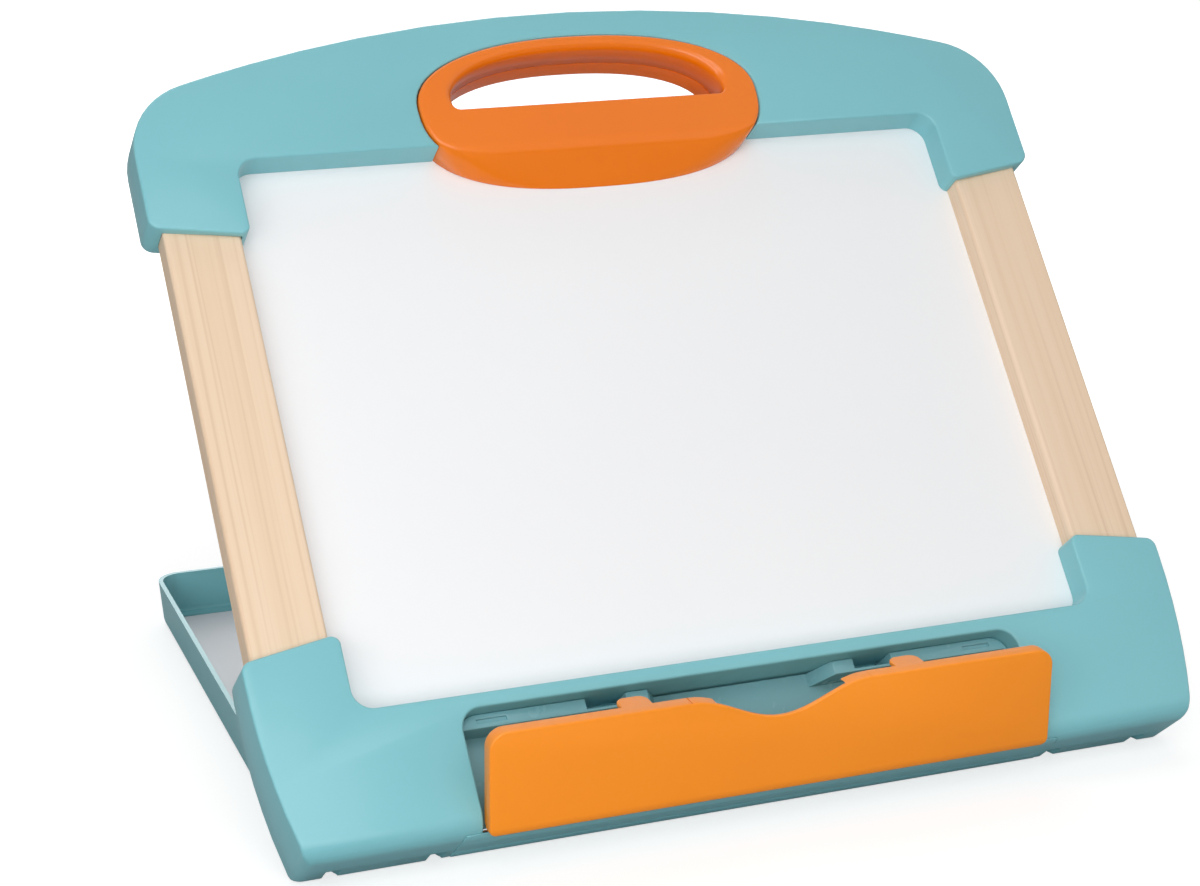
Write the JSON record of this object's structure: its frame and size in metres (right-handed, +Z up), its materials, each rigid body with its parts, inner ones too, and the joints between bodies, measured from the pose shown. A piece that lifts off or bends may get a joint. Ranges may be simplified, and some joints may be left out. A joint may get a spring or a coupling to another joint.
{
  "type": "desk easel whiteboard",
  "caption": "Wood and plastic framed desk whiteboard that leans over a folding rear tray, with a carrying handle and a hinged front pocket flap.",
  "frame": {"origin": "centre of the bounding box, on the table", "axes": "+X across the board to the viewer's right, +Y to the rear, +Z up; the board faces -Y and up"},
  "size_m": [0.3912, 0.32, 0.2845],
  "materials": {
    "teal_shell": "satin moulded, light teal",
    "teal_liner": "matte moulded, darker teal",
    "orange_handle": "glossy deep orange",
    "orange_flap": "satin orange",
    "pale_wood": "fine-grained, clear matt lacquer",
    "white_enamel": "smooth enamel on steel",
    "hardboard": "brown pressed hardboard",
    "grey_panel": "grey-white, slightly textured",
    "steel_wire": "plated wire and pins",
    "dark_rubber": "non-slip strip",
    "screw_steel": "zinc plated"
  },
  "bodies": {
    "board": {"top_cap_front": "teal_shell", "top_cap_rear": "teal_shell", "base_front": "teal_shell", "base_rear": "teal_shell", "rail_left": "pale_wood", "rail_right": "pale_wood", "whiteboard_sheet": "white_enamel", "board_core": "hardboard", "handle_front": "orange_handle", "handle_rear": "orange_handle", "pocket_liner": "teal_liner", "flap_pins": "steel_wire", "tray_hinge_pins": "steel_wire", "prop_bracket_left": "teal_liner", "prop_bracket_right": "teal_liner", "cap_screws": "screw_steel", "base_screws": "screw_steel", "rail_screws": "screw_steel", "handle_screws": "screw_steel", "bracket_screws": "screw_steel"},
    "tray": {"tray_frame": "teal_shell", "tray_panel": "grey_panel", "prop_rest_strip": "dark_rubber"},
    "flap": {"front_flap": "orange_flap"},
    "prop": {"prop_wire": "steel_wire"}
  },
  "joints": [
    {"name": "tray_fold", "type": "hinge", "parent": "board", "child": "tray", "pos_m": [0, -0.12059, 0.0045], "axis": [1, 0, 0], "range_deg": [0, 50]},
    {"name": "prop_swing", "type": "hinge", "parent": "board", "child": "prop", "pos_m": [0, -0.05316, 0.11173], "axis": [1, 0, 0], "range_deg": [0, 100]},
    {"name": "flap_hinge", "type": "hinge", "parent": "board", "child": "flap", "pos_m": [0, -0.1481, 0.01376], "axis": [1, 0, 0], "range_deg": [-41.2, 0]}
  ],
  "couplings": [
    {"joint": "prop_swing", "follows": "tray_fold", "ratio": 2}
  ]
}
